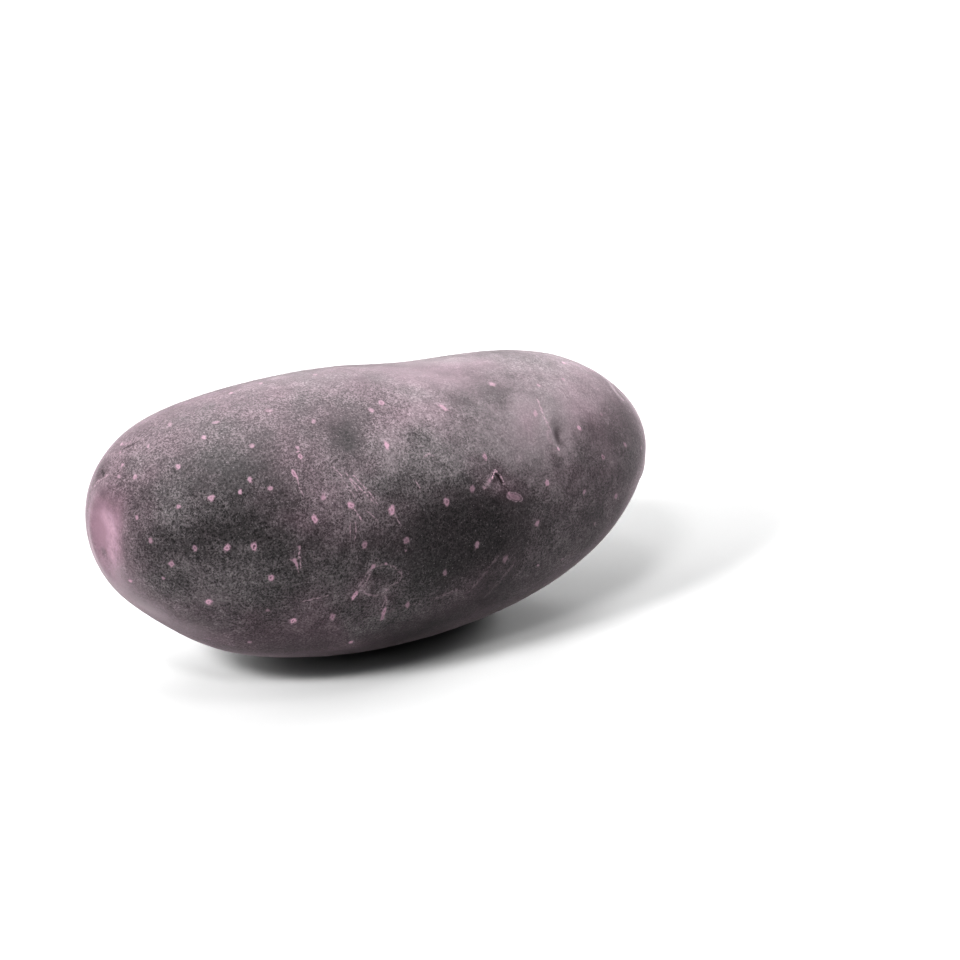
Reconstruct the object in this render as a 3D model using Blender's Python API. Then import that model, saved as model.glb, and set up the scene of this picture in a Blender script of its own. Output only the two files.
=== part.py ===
# Purple potato: one grown tuber, lying on a small flat spot under its weight.
# Units are metres. X runs from the stem end (-X) to the rose end (+X) and Z is up.
# The origin is in the middle of the tuber's footprint, on the surface that it lies on.
import math

import bmesh
import bpy
from mathutils import Vector

# Driving dimensions
LENGTH = 0.100
WIDTH = 0.0468
HEIGHT = 0.0466
STEM_BLUNTNESS = 2.34  # power of each end's curve: 2 is an ellipse, and more is blunter
ROSE_BLUNTNESS = 2.15
TAPER = -0.043  # change of girth from the middle to the rose end, as a part of the girth
CROWN_TAPER = -0.018  # the same again, in height alone
WAIST = -0.021  # change of girth in the middle
SIDE_BOW = (0.0, 0.035, -0.028)  # sideways curve of the middle line: slope, bend and twist, in half lengths
RISE_BOW = (-0.031, 0.053, -0.005)  # the same upwards, which lifts both ends clear
REST_DEPTH = 0.0005  # what the weight flattens at the lowest point

# Places on the skin are given as how far along (-1 at the stem end, 1 at the rose end) and how far
# round in degrees: 0 the far side, 90 the top, 180 the near side and 270 underneath.
# Broad forms: name, along, round, height and reach. A hollow has a negative height.
FORMS = (
    ("saddle", 0.195, 83, -0.00153, 0.0112),
    ("stem end's brow", -0.78, 73, 0.00068, 0.0108),
    ("stem end's heel", -0.79, 274, -0.00089, 0.0089),
    ("hollow of the belly", -0.40, 266, -0.00033, 0.0109),
    ("shoulder", 0.69, 79, 0.00069, 0.0104),
    ("dent in the near side", -0.33, 129, -0.00045, 0.0036),
    ("swelling past the dent", -0.16, 140, 0.00030, 0.0060),
    ("flat of the far side", -0.05, 12, -0.00080, 0.0130),
    ("bulge of the far side", -0.52, 345, 0.00050, 0.0110),
    ("bulge by the rose end", 0.62, 335, 0.00055, 0.0100),
    ("hollow by the rose end", 0.86, 215, -0.00040, 0.0080),
    ("low rib underneath", 0.45, 262, 0.00030, 0.0100),
)

# Eyes: along, round, size and how far the brow is turned from the stem end, in degrees.
EYES = (
    (-0.928, 73, 0.0017, 20),
    (0.140, 158, 0.0015, 70),
    (0.445, 146, 0.0023, 15),
    (-0.46, 22, 0.0022, 0),
    (-0.08, 318, 0.0023, -10),
    (0.33, 48, 0.0023, 10),
    (0.58, 250, 0.0022, 0),
    (0.70, 12, 0.0021, -10),
    (0.84, 118, 0.0020, 15),
    (0.92, 300, 0.0018, 0),
    (0.94, 205, 0.0018, -15),
    (0.995, 60, 0.0022, 0),
)
EYE_DEPTH = 0.30  # of the eye's size, as are the next three
BROW_HEIGHT = 0.13
BROW_RADIUS = 1.25
BROW_WIDTH = 0.38

# The scar where the stem was, at the stem end's tip
SCAR_CENTRE = (-0.050, 0.0010, 0.0042)  # from the tuber's middle
SCAR_HALF_WIDTH = 0.0042
SCAR_HALF_HEIGHT = 0.0060
SCAR_DEPTH = 0.00040
SCAR_RIM = 0.00022

# Mesh
GIRTH_CUTS = 14  # across each side of the box that the tuber is shaped from
FINE_PASSES = 2  # times that the faces round an eye are cut in two each way
FINE_REACH = 1.9  # of the eye's size
SMALLEST_EDGE = 0.0001  # left where the flat spot is cut


def clear_scene():
    for old in list(bpy.data.objects):
        bpy.data.objects.remove(old, do_unlink=True)


def body_point(direction):
    """The smooth body's point in a direction from its middle, where a unit ball is the plain form."""
    power = STEM_BLUNTNESS if direction.x < 0 else ROSE_BLUNTNESS
    reach = math.hypot(direction.y, direction.z)
    scale = (abs(direction.x) ** power + reach ** power) ** (-1 / power)
    along = direction.x * scale
    girth = 1 + TAPER * along + WAIST * (1 - along ** 2)
    crown = girth + CROWN_TAPER * along
    terms = (along, along ** 2 - 0.33, along ** 3)
    side = sum(a * b for a, b in zip(SIDE_BOW, terms)) * LENGTH / 2
    rise = sum(a * b for a, b in zip(RISE_BOW, terms)) * LENGTH / 2
    return Vector((
        along * LENGTH / 2,
        direction.y * scale * girth * WIDTH / 2 + side,
        direction.z * scale * crown * HEIGHT / 2 + rise,
    ))


def skin_place(along, degrees):
    """A place's point on the smooth body, its outward normal, and the way along and the way round there."""
    def at(a, turn):
        ring = math.sqrt(max(0.0, 1 - a * a))
        return body_point(Vector((a, ring * math.cos(turn), ring * math.sin(turn))))
    turn = math.radians(degrees)
    step = 0.002
    inner = min(max(along, -1 + 2 * step), 1 - 2 * step)
    way_along = (at(inner + step, turn) - at(inner - step, turn)).normalized()
    way_round = (at(inner, turn + step) - at(inner, turn - step)).normalized()
    outward = way_round.cross(way_along).normalized()
    return at(along, turn), outward, way_along, way_round


def broad_offset(point, forms):
    """How far the broad hollows and swells move a point of the smooth body."""
    offset = Vector()
    for centre, outward, height, reach in forms:
        offset += outward * (height * math.exp(-(point - centre).length_squared / reach ** 2))
    return offset


def eye_offset(point, eyes):
    """A pit for the bud, under a raised brow that curves round it on the stem end's side."""
    offset = Vector()
    for centre, outward, way_along, way_round, size, turn in eyes:
        away = (point - centre) / size
        if away.length > 3:
            continue
        ahead = away.dot(way_along) * math.cos(turn) + away.dot(way_round) * math.sin(turn)
        aside = away.dot(way_round) * math.cos(turn) - away.dot(way_along) * math.sin(turn)
        pit = math.exp(-(ahead ** 2 * 1.7 + aside ** 2 * 0.9))
        off_ring = (math.hypot(ahead, aside * 0.85) - BROW_RADIUS) / BROW_WIDTH
        facing = max(0.0, -ahead / max(away.length, 0.2))
        brow = math.exp(-off_ring ** 2) * facing ** 0.7
        offset += outward * (size * (BROW_HEIGHT * brow - EYE_DEPTH * pit))
    return offset


def scar_offset(point):
    """A shallow dish with a soft rim, where the stem came away."""
    away = point - Vector(SCAR_CENTRE)
    if away.x > LENGTH / 8:
        return Vector()
    ring = math.hypot(away.y / SCAR_HALF_WIDTH, away.z / SCAR_HALF_HEIGHT)
    dish = math.exp(-(ring ** 4))
    rim = math.exp(-(((ring - 1.15) / 0.30) ** 2))
    return Vector((SCAR_DEPTH * dish - SCAR_RIM * rim, 0, 0))


def ball_direction(co):
    """A point on the box of sides 2, 1 and 1, as a direction evenly spread over the unit ball."""
    even = Vector((math.tan(co.x * math.pi / 4), math.tan(co.y * math.pi / 4), math.tan(co.z * math.pi / 4)))
    return even.normalized()


def box_grid(bm):
    """A box of square faces that is twice as long as it is wide, kept in a cube's coordinates."""
    bmesh.ops.create_cube(bm, size=2)
    lengthwise = [e for e in bm.edges if abs(e.verts[0].co.x - e.verts[1].co.x) > 1]
    bmesh.ops.subdivide_edges(bm, edges=lengthwise, cuts=1, use_grid_fill=True)
    bmesh.ops.subdivide_edges(bm, edges=bm.edges[:], cuts=GIRTH_CUTS, use_grid_fill=True)


def refine_round_eyes(bm, eyes):
    """Cuts the faces round each eye finer."""
    for _ in range(FINE_PASSES):
        near = set()
        for vert in bm.verts:
            point = body_point(ball_direction(vert.co))
            if any((point - eye[0]).length < eye[4] * FINE_REACH for eye in eyes):
                near.add(vert)
        edges = [e for e in bm.edges if e.verts[0] in near and e.verts[1] in near]
        bmesh.ops.subdivide_edges(bm, edges=edges, cuts=1, use_grid_fill=True)


def shape_tuber(bm):
    forms = [(*skin_place(along, turn)[:2], height, reach) for _, along, turn, height, reach in FORMS]
    eyes = []
    for along, turn, size, brow_turn in EYES:
        place = skin_place(along, turn)
        lifted = place[0] + broad_offset(place[0], forms)
        eyes.append((lifted, *place[1:], size, math.radians(brow_turn)))
    refine_round_eyes(bm, eyes)
    for vert in bm.verts:
        point = body_point(ball_direction(vert.co))
        point += broad_offset(point, forms)
        vert.co = point + eye_offset(point, eyes) + scar_offset(point)


def flatten_where_it_rests(bm):
    """Cuts the flat spot, puts the origin in the middle of the footprint and returns the flat face."""
    rest = min(v.co.z for v in bm.verts) + REST_DEPTH
    cut = bmesh.ops.bisect_plane(
        bm, geom=bm.verts[:] + bm.edges[:] + bm.faces[:], dist=SMALLEST_EDGE / 10,
        plane_co=(0, 0, rest), plane_no=(0, 0, -1), clear_outer=True,
    )
    rim = [v for v in cut["geom_cut"] if isinstance(v, bmesh.types.BMVert)]
    bmesh.ops.remove_doubles(bm, verts=rim, dist=SMALLEST_EDGE)
    for vert in bm.verts:
        if vert.is_boundary:
            vert.co.z = rest
    flat = bmesh.ops.holes_fill(bm, edges=[e for e in bm.edges if e.is_boundary])["faces"]
    low = Vector(min(v.co[i] for v in bm.verts) for i in range(3))
    high = Vector(max(v.co[i] for v in bm.verts) for i in range(3))
    bmesh.ops.translate(bm, verts=bm.verts[:], vec=(-(low.x + high.x) / 2, -(low.y + high.y) / 2, -rest))
    return flat


def skin_material():
    material = bpy.data.materials.new("potato skin")
    material.use_nodes = True
    shader = material.node_tree.nodes["Principled BSDF"]
    shader.inputs["Base Color"].default_value = (0.110, 0.085, 0.100, 1)
    shader.inputs["Roughness"].default_value = 0.6
    shader.inputs["Metallic"].default_value = 0.0
    material.diffuse_color = (0.110, 0.085, 0.100, 1)
    return material


def build_potato(collection):
    bm = bmesh.new()
    box_grid(bm)
    shape_tuber(bm)
    flat = flatten_where_it_rests(bm)
    bmesh.ops.triangulate(bm, faces=[f for f in bm.faces if f not in flat])
    mesh = bpy.data.meshes.new("potato")
    bm.to_mesh(mesh)
    bm.free()
    mesh.shade_smooth()
    mesh.materials.append(skin_material())
    potato = bpy.data.objects.new("potato", mesh)
    collection.objects.link(potato)
    return potato


def main():
    clear_scene()
    collection = bpy.data.collections.new("purple potato")
    bpy.context.scene.collection.children.link(collection)
    build_potato(collection)


main()
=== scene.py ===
import math
import random

import bmesh
import bpy
import numpy as np
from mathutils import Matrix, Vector, noise
from mathutils.bvhtree import BVHTree


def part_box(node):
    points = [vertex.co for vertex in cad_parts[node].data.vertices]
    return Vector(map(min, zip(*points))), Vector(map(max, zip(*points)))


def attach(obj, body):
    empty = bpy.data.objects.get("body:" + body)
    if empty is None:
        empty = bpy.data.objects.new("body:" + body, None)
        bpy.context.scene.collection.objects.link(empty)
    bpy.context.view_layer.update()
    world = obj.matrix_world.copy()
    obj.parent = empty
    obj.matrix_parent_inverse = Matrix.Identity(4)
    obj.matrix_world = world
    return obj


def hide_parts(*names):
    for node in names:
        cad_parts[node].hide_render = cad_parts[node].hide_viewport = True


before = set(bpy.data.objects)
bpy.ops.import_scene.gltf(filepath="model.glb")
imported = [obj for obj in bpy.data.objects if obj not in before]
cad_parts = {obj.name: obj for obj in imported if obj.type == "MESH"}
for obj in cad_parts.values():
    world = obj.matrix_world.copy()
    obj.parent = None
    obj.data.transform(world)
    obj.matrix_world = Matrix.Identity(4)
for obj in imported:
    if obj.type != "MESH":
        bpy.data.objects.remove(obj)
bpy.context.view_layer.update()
print("frame loaded:", ", ".join(sorted(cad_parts)))

perMetre = 1000.0  # millimetres
farOff = 9.0  # further than any mark reaches, in half sizes of the mark

# Everything is in metres. A place on the skin is how far along it is, from -1 at the stem end to
# 1 at the rose end, and how far round in degrees: 0 far side, 90 top, 180 near side, 270 underneath.
tuber = {
    "length": 0.100,
    "width": 0.0468,
    "height": 0.0466,
    "stemBluntness": 2.34,  # 2 is an ellipse, more is blunter
    "roseBluntness": 2.15,
    "taper": -0.043,
    "crownTaper": -0.018,
    "waist": -0.021,
    "sideBow": (0.0, 0.035, -0.028),  # slope, bend and twist of the middle line
    "riseBow": (-0.031, 0.053, -0.005),
    "bendCentre": 0.33,
    "restDepth": 0.0005,
    "cuts": 97,  # across each side of the box that the skin is shaped from
    "forms": [  # along, round, height, reach
        (0.195, 83, -0.00153, 0.0112),  # the saddle
        (-0.78, 73, 0.00068, 0.0108),
        (-0.79, 274, -0.00089, 0.0089),
        (-0.40, 266, -0.00033, 0.0109),
        (0.69, 79, 0.00069, 0.0104),  # the shoulder
        (-0.33, 129, -0.00045, 0.0036),  # a dent in the near side, and a swelling past it
        (-0.16, 140, 0.00030, 0.0060),
        (-0.05, 12, -0.00080, 0.0130),
        (-0.52, 345, 0.00050, 0.0110),
        (0.62, 335, 0.00055, 0.0100),
        (0.86, 215, -0.00040, 0.0080),
        (0.45, 262, 0.00030, 0.0100),
    ],
}


def ballDirections(co):
    even = np.tan(co * math.pi / 4)
    return even / np.linalg.norm(even, axis=1, keepdims=True)


def bodyPoints(d):
    power = np.where(d[:, 0] < 0, tuber["stemBluntness"], tuber["roseBluntness"])
    reach = np.hypot(d[:, 1], d[:, 2])
    scale = (np.abs(d[:, 0]) ** power + reach ** power) ** (-1 / power)
    along = d[:, 0] * scale
    girth = 1 + tuber["taper"] * along + tuber["waist"] * (1 - along ** 2)
    crown = girth + tuber["crownTaper"] * along
    terms = np.stack([along, along ** 2 - tuber["bendCentre"], along ** 3], 1) * tuber["length"] / 2
    side = terms @ np.array(tuber["sideBow"])
    rise = terms @ np.array(tuber["riseBow"])
    return np.stack([
        along * tuber["length"] / 2,
        d[:, 1] * scale * girth * tuber["width"] / 2 + side,
        d[:, 2] * scale * crown * tuber["height"] / 2 + rise,
    ], 1)


def skinPlace(along, degrees):
    def at(a, turn):
        ring = math.sqrt(max(0.0, 1 - a * a))
        return bodyPoints(np.array([[a, ring * math.cos(turn), ring * math.sin(turn)]]))[0]
    turn = math.radians(degrees)
    step = 0.002
    inner = min(max(along, -1 + 2 * step), 1 - 2 * step)
    ahead = at(inner + step, turn) - at(inner - step, turn)
    aside = at(inner, turn + step) - at(inner, turn - step)
    ahead /= np.linalg.norm(ahead)
    aside /= np.linalg.norm(aside)
    out = np.cross(aside, ahead)
    return at(along, turn), out / np.linalg.norm(out), ahead, aside


formPlaces = [skinPlace(along, turn)[:2] + (height, reach) for along, turn, height, reach in tuber["forms"]]


def formOffset(points):
    offset = np.zeros_like(points)
    for centre, out, height, reach in formPlaces:
        bump = height * np.exp(-((points - centre) ** 2).sum(1) / reach ** 2)
        offset += bump[:, None] * out
    return offset


eyes = {
    "places": [  # along, round, size, turn of the brow from the stem end, share of the full relief
        (-0.928, 73, 0.0017, 20, 0.4),
        (0.140, 158, 0.0015, 70, 1),
        (0.445, 146, 0.0023, 15, 1),
        (-0.46, 22, 0.0022, 0, 1),
        (-0.08, 318, 0.0023, -10, 1),
        (0.33, 48, 0.0023, 10, 1),
        (0.58, 250, 0.0022, 0, 1),
        (0.70, 12, 0.0021, -10, 1),
        (0.84, 118, 0.0020, 15, 0.35),
        (0.92, 300, 0.0018, 0, 1),
        (0.94, 205, 0.0018, -15, 1),
        (0.995, 60, 0.0022, 0, 1),
    ],
    "depth": 0.30,  # of the eye's size, as are all heights, radii and widths here
    "reach": 3,
    "steepness": (1.7, 0.9),  # of the pit, lengthwise and crosswise
    "browHeight": 0.13,
    "browRadius": 1.25,
    "browWidth": 0.38,
    "browOval": 0.85,
    "browFade": 0.7,  # towards its two ends
    "creaseRadius": 0.92,
    "creaseWidth": 0.17,
    "creaseFade": 0.5,
    "middle": 0.2,  # inside this there is no brow
    "budHeight": 0.12,
    "budRadius": 0.30,
    "budAt": 0.25,
    "budOval": 0.5,
    # budPaleness: how much of the painted pit shade the bud takes off
    "budPaleness": 0.6,
}


def eyeOffset(points):
    offset = np.zeros_like(points)
    pit, brow, crease = np.zeros((3, len(points)))
    for along, turn, size, browTurn, share in eyes["places"]:
        centre, out, ahead, aside = skinPlace(along, turn)
        centre = centre + formOffset(centre[None, :])[0]
        away = (points - centre) / size
        near = (away ** 2).sum(1) < eyes["reach"] ** 2
        away = away[near]
        twist = math.radians(browTurn)
        x = away @ ahead * math.cos(twist) + away @ aside * math.sin(twist)
        y = away @ aside * math.cos(twist) - away @ ahead * math.sin(twist)
        lengthwise, crosswise = eyes["steepness"]
        hollow = share * np.exp(-(x ** 2 * lengthwise + y ** 2 * crosswise))
        ring = np.hypot(x, y * eyes["browOval"])
        facing = np.maximum(0, -x / np.maximum(np.linalg.norm(away, axis=1), eyes["middle"]))
        offBrow = (ring - eyes["browRadius"]) / eyes["browWidth"]
        ridge = share * np.exp(-offBrow ** 2) * facing ** eyes["browFade"]
        offCrease = (ring - eyes["creaseRadius"]) / eyes["creaseWidth"]
        fold = share * np.exp(-offCrease ** 2) * facing ** eyes["creaseFade"]
        offBud = (x - eyes["budAt"]) ** 2 + y ** 2 * eyes["budOval"]
        bud = share * np.exp(-offBud / eyes["budRadius"] ** 2)
        height = eyes["browHeight"] * ridge - eyes["depth"] * hollow + eyes["budHeight"] * bud
        offset[near] += (size * height)[:, None] * out
        # masks for the painted shade in pits and creases, and for the brows
        pit[near] = np.maximum(pit[near], hollow - eyes["budPaleness"] * bud)
        brow[near] = np.maximum(brow[near], ridge)
        crease[near] = np.maximum(crease[near], fold)
    return offset, pit, brow, crease


scar = {
    "centre": (-0.050, 0.0010, 0.0042),
    "reach": 0.0125,  # lengthwise
    "halfWidth": 0.0042,
    "halfHeight": 0.0060,
    "depth": 0.00040,
    "rim": 0.00022,
    "rimAt": 1.15,  # of the half sizes
    "rimWidth": 0.30,
}


def scarOffset(points):
    away = points - np.array(scar["centre"])
    ring = np.hypot(away[:, 1] / scar["halfWidth"], away[:, 2] / scar["halfHeight"])
    ring = np.where(away[:, 0] > scar["reach"], farOff, ring)
    dish = np.exp(-ring ** 4)
    rim = np.exp(-((ring - scar["rimAt"]) / scar["rimWidth"]) ** 2)
    offset = np.zeros_like(points)
    offset[:, 0] = scar["depth"] * dish - scar["rim"] * rim
    return offset


def gridBox(cuts):
    bm = bmesh.new()
    bmesh.ops.create_cube(bm, size=2)
    lengthwise = [e for e in bm.edges if abs(e.verts[0].co.x - e.verts[1].co.x) > 1]
    bmesh.ops.subdivide_edges(bm, edges=lengthwise, cuts=1, use_grid_fill=True)
    bmesh.ops.subdivide_edges(bm, edges=bm.edges[:], cuts=cuts, use_grid_fill=True)
    return bm


def placeInFrame(points):
    low, high = points.min(0), points.max(0)
    cadLow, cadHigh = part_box("potato")
    middle = (np.array(cadLow + cadHigh) - low - high) / 2
    middle[2] = -low[2] - tuber["restDepth"]
    return middle


view = {  # the camera, where the photograph was taken from
    "around": -35.75,
    "above": 20.7,
    "away": 0.55,
    "aimRight": 0.01559,
    "aimUp": 0.00233,
    "lens": 128.85,
    "sensor": 36,
    "clip": 0.01,
    "frame": 960,  # pixels across, and down
}
focal = view["lens"] / view["sensor"] * view["frame"]


def viewAxes():
    a, e = math.radians(view["around"]), math.radians(view["above"])
    back = Vector((math.sin(a) * math.cos(e), -math.cos(a) * math.cos(e), math.sin(e)))
    right = Vector((math.cos(a), math.sin(a), 0))
    return right, back.cross(right), back


def placeCamera(middle):
    right, up, back = viewAxes()
    data = bpy.data.cameras.new("camera")
    data.lens = view["lens"]
    data.sensor_width = view["sensor"]
    data.clip_start = view["clip"]
    camera = bpy.data.objects.new("camera", data)
    bpy.context.collection.objects.link(camera)
    camera.location = Vector(middle) + right * view["aimRight"] + up * view["aimUp"] + back * view["away"]
    camera.rotation_euler = back.to_track_quat("Z", "Y").to_euler()
    bpy.context.scene.camera = camera
    return camera.location.copy()


def castPixel(tree, eye, x, y):
    right, up, back = viewAxes()
    half = view["frame"] / 2
    ray = (right * (x - half) + up * (half - y) - back * focal).normalized()
    return tree.ray_cast(eye, ray)[:2]


def pixelsOf(points, eye):
    right, up, back = (np.array(axis) for axis in viewAxes())
    ray = points - np.array(eye)
    half = view["frame"] / 2
    return half + ray @ right / -(ray @ back) * focal, half - ray @ up / -(ray @ back) * focal


def pixelSize(place, eye):
    return (eye - place).dot(viewAxes()[2]) / focal


def tangents(out, right):
    across = (right - out * right.dot(out)).normalized()
    return across, out.cross(across)


# Pores that show from the camera: pixel x and y, width and height in pixels, degrees that the
# upright oval leans to the left, how dark its middle is, and how strong it is.
porePixels = [
    (178, 467, 6, 7, 0, 0.5, 0.8), (135, 477, 6.5, 5, 25, 0.2, 0.65), (118.8, 476.5, 4, 5, 0, 0.0, 0.45),
    (211, 498, 8, 7, 0, 0.3, 1.0), (240, 492, 5.5, 6, 0, 0.2, 1.0), (250, 479.5, 5.5, 8, 0, 0.4, 1.0),
    (270.5, 488.5, 6.5, 5.5, 0, 0.3, 0.9), (178.6, 506.4, 6, 5.5, 0, 0.3, 0.9),
    (137, 517.5, 4, 6, 0, 0.2, 0.8), (150.7, 540.4, 6, 6, 0, 0.1, 0.8), (195, 548, 5.5, 7, 0, 0.7, 1.15),
    (227, 548, 7.5, 9, 0, 0.5, 1.3), (254, 546.6, 7, 9.5, 0, 0.7, 1.45),
    (171.4, 563.8, 7, 6.5, 0, 0.5, 1.15), (271, 578, 7.5, 7.5, 0, 0.6, 1.4),
    (208.5, 602, 9, 6.5, 0, 0.3, 1.5), (292.7, 621, 8, 7, 0, 0.45, 1.6),
    (332.5, 616.6, 6, 7.5, 0, 0.6, 1.1), (351, 642, 5.5, 5, 0, 0.2, 1.3),
    (364.7, 545.3, 6, 8, 10, 0.7, 0.95), (406.5, 540.3, 6.5, 7.5, 0, 0.7, 0.8),
    (405.8, 550.6, 3, 3, 0, 0.0, 0.6), (407.3, 604.8, 5, 8, 0, 0.2, 0.7),
    (314.5, 519.3, 6.5, 11, 30, 0.5, 1.3), (351, 505.5, 7.5, 8.5, 10, 0.5, 1.25),
    (391.8, 510.2, 7, 11.5, 8, 0.5, 1.25), (446.3, 501.8, 7, 9.5, 12, 0.7, 1.0),
    (472, 488.8, 5.5, 8, -8, 0.4, 0.6), (476.6, 544.8, 6, 8.5, 0, 0.2, 0.8),
    (444.8, 572.8, 4.5, 7.5, 0, 0.3, 0.6), (505.2, 559, 6, 8, -15, 0.2, 0.5),
    (386.8, 445.3, 5.5, 10, 18, 0.1, 1.0), (370.9, 410.3, 6.5, 5.5, 0, 0.1, 0.55),
    (381.4, 402.8, 6.5, 5.5, 0, 0.8, 0.7), (443.5, 407.6, 6, 9, 60, 0.3, 0.65),
    (492, 384, 9, 5.5, 0, 0.1, 0.5), (484.6, 456.9, 5, 9, 20, 0.5, 0.9),
    (251.8, 445.8, 6, 5.5, 0, 0.3, 0.65), (203.5, 437.5, 6.5, 5, 0, 0.1, 0.65),
    (215.8, 422.2, 8, 4, 0, 0.6, 0.45), (169.8, 424.5, 5, 5, 0, 0.1, 0.35), (231.3, 393, 5, 4, 0, 0.1, 0.6),
    (313.6, 421.4, 5, 5.5, 0, 0.1, 0.5), (323.6, 497.4, 6, 7.5, 20, 0.1, 0.8),
    (148.2, 446.2, 3.5, 5, 0, 0.1, 0.5), (535.6, 413.6, 5, 8, 0, 0.1, 0.5),
    (260.9, 383.4, 5, 3.5, 0, 0.0, 0.6), (315, 374.7, 5, 3.5, 0, 0.0, 0.5),
    (268.5, 410.5, 9, 5, 0, 0.1, 0.28), (163.3, 578, 4, 3.5, 0, 0.0, 0.9),
    (267.8, 610.5, 5, 3.5, -20, 0.0, 0.6), (250, 642, 6, 4, 0, 0.1, 0.9),
    (130.7, 580.8, 6, 4, 30, 0.0, 1.2), (299.3, 547.2, 4, 4.5, 0, 0.0, 0.7),
    (296.2, 564.0, 3.0, 10, 14, 0.0, 0.95), (293.8, 559.8, 6, 3.2, 0, 0.0, 0.9),
    (294.4, 474.2, 4.5, 12, 33, 0.6, 1.1), (300.2, 456.5, 5, 7.5, 25, 0.7, 0.9),
    (297.5, 447.5, 5, 5, 0, 0.2, 0.6), (354.6, 595.4, 5, 11, -35, 0.4, 1.4),
    (384, 611.5, 5, 9, -15, 0.5, 1.2), (382.2, 618, 4.5, 6, -10, 0.4, 0.9),
    (373, 566.8, 5, 8, -50, 0.1, 0.9), (385.8, 563.6, 3.5, 3.5, 0, 0.0, 0.9),
    (514.6, 497.0, 16.5, 8.0, -14, 0.6, 0.62), (509.2, 493.8, 4.5, 3.5, -20, 0.0, 0.7),
    (489.4, 480.4, 3.5, 4.5, -35, 0.0, 0.9), (121.6, 444.4, 3.5, 4, 0, 0.0, 0.6),
    (126.1, 443.6, 3, 3, 0, 0.0, 0.3), (122.5, 464.8, 4, 4, 0, 0.0, 0.7),
    (130.4, 441.8, 3, 2.6, 0, 0.0, 0.25), (120.2, 452.8, 3, 3, 0, 0.0, 0.4),
]
pores = {
    "count": 150,  # scattered where the camera doesn't look
    "tries": 6000,
    "lowest": 0.0015,
    "spacing": 0.0062,
    "size": (0.0007, 0.0013),
    "roundness": (0.7, 1.0),
    "middles": (0.1, 0.3, 0.6, 0.9),  # how dark
    "strength": (0.4, 1.0),
    "seed": 11,
    "placedTo": 530,  # pixel column up to which all pores in view are listed
    "steepest": 0.6,  # share of its size that a pore on a slope shows, at least
    "rise": 0.000045,
    "rimAt": 0.8,  # of the pore's half size, as are the rest
    "rimWidth": 0.45,
    "dimpleWidth": 0.5,
    "dimpleDepth": 1.2,
    "end": 1.8,
    "fade": 0.4,
    "reach": 3.2,
}


def placedPores(tree, eye):
    right, up, _ = viewAxes()
    marks = []
    for x, y, width, height, lean, middleDark, strength in porePixels:
        place, out = castPixel(tree, eye, x, y)
        across, upward = tangents(out, right)
        pixel = pixelSize(place, eye)
        halfWidth = width * pixel / 2 / max(pores["steepest"], across.dot(right))
        halfHeight = height * pixel / 2 / max(pores["steepest"], upward.dot(up))
        marks.append((place, across, upward, halfWidth, halfHeight, lean, middleDark, strength))
    return marks


def seenInPhotograph(place, out, eye):
    return out.dot(place - eye) < 0 and pixelsOf(np.array(place), eye)[0] < pores["placedTo"]


def scatterPores(marks, tree, eye, middle):
    draw = random.Random(pores["seed"])
    goal = len(marks) + pores["count"]
    for _ in range(pores["tries"]):
        if len(marks) == goal:
            break
        height = draw.uniform(-1, 1)
        turn = draw.uniform(0, 2 * math.pi)
        ring = math.sqrt(1 - height * height)
        body = bodyPoints(np.array([[height, ring * math.cos(turn), ring * math.sin(turn)]]))
        place, out = tree.find_nearest(Vector((body + formOffset(body))[0] + middle))[:2]
        if place.z < pores["lowest"] or seenInPhotograph(place, out, eye):
            continue
        if min((place - mark[0]).length for mark in marks) < pores["spacing"]:
            continue
        way = Vector((draw.uniform(-1, 1), draw.uniform(-1, 1), draw.uniform(-1, 1)))
        across, upward = tangents(out, way.normalized())
        halfHeight = draw.uniform(*pores["size"]) / 2
        halfWidth = halfHeight * draw.uniform(*pores["roundness"])
        middleDark = draw.choice(pores["middles"])
        strength = draw.uniform(*pores["strength"])
        marks.append((place, across, upward, halfWidth, halfHeight, 0, middleDark, strength))


def markPores(points, marks):
    local = np.full((len(points), 3), farOff)
    local[:, 2] = 0
    best = np.full(len(points), farOff)
    strength, rise = np.zeros((2, len(points)))
    for place, across, upward, halfWidth, halfHeight, lean, middleDark, power in marks:
        lean = math.radians(lean)
        away = points - np.array(place)
        near = np.where((away ** 2).sum(1) < (pores["reach"] * max(halfWidth, halfHeight)) ** 2)[0]
        x, y = away[near] @ np.array(across), away[near] @ np.array(upward)
        a = (x * math.cos(lean) + y * math.sin(lean)) / halfWidth
        b = (y * math.cos(lean) - x * math.sin(lean)) / halfHeight
        reach = np.hypot(a, b)
        nearer = reach < best[near]
        rows = near[nearer]
        best[rows] = reach[nearer]
        local[rows, 0], local[rows, 1], local[rows, 2] = a[nearer], b[nearer], middleDark
        strength[rows] = power * np.clip((pores["end"] - reach[nearer]) / pores["fade"], 0, 1)
        rim = np.exp(-((reach - pores["rimAt"]) / pores["rimWidth"]) ** 2)
        dimple = middleDark * pores["dimpleDepth"] * np.exp(-(reach / pores["dimpleWidth"]) ** 2)
        rise[near] += power * (rim - dimple)
    print("pores:", len(marks))
    return local, strength, rise * pores["rise"]
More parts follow.
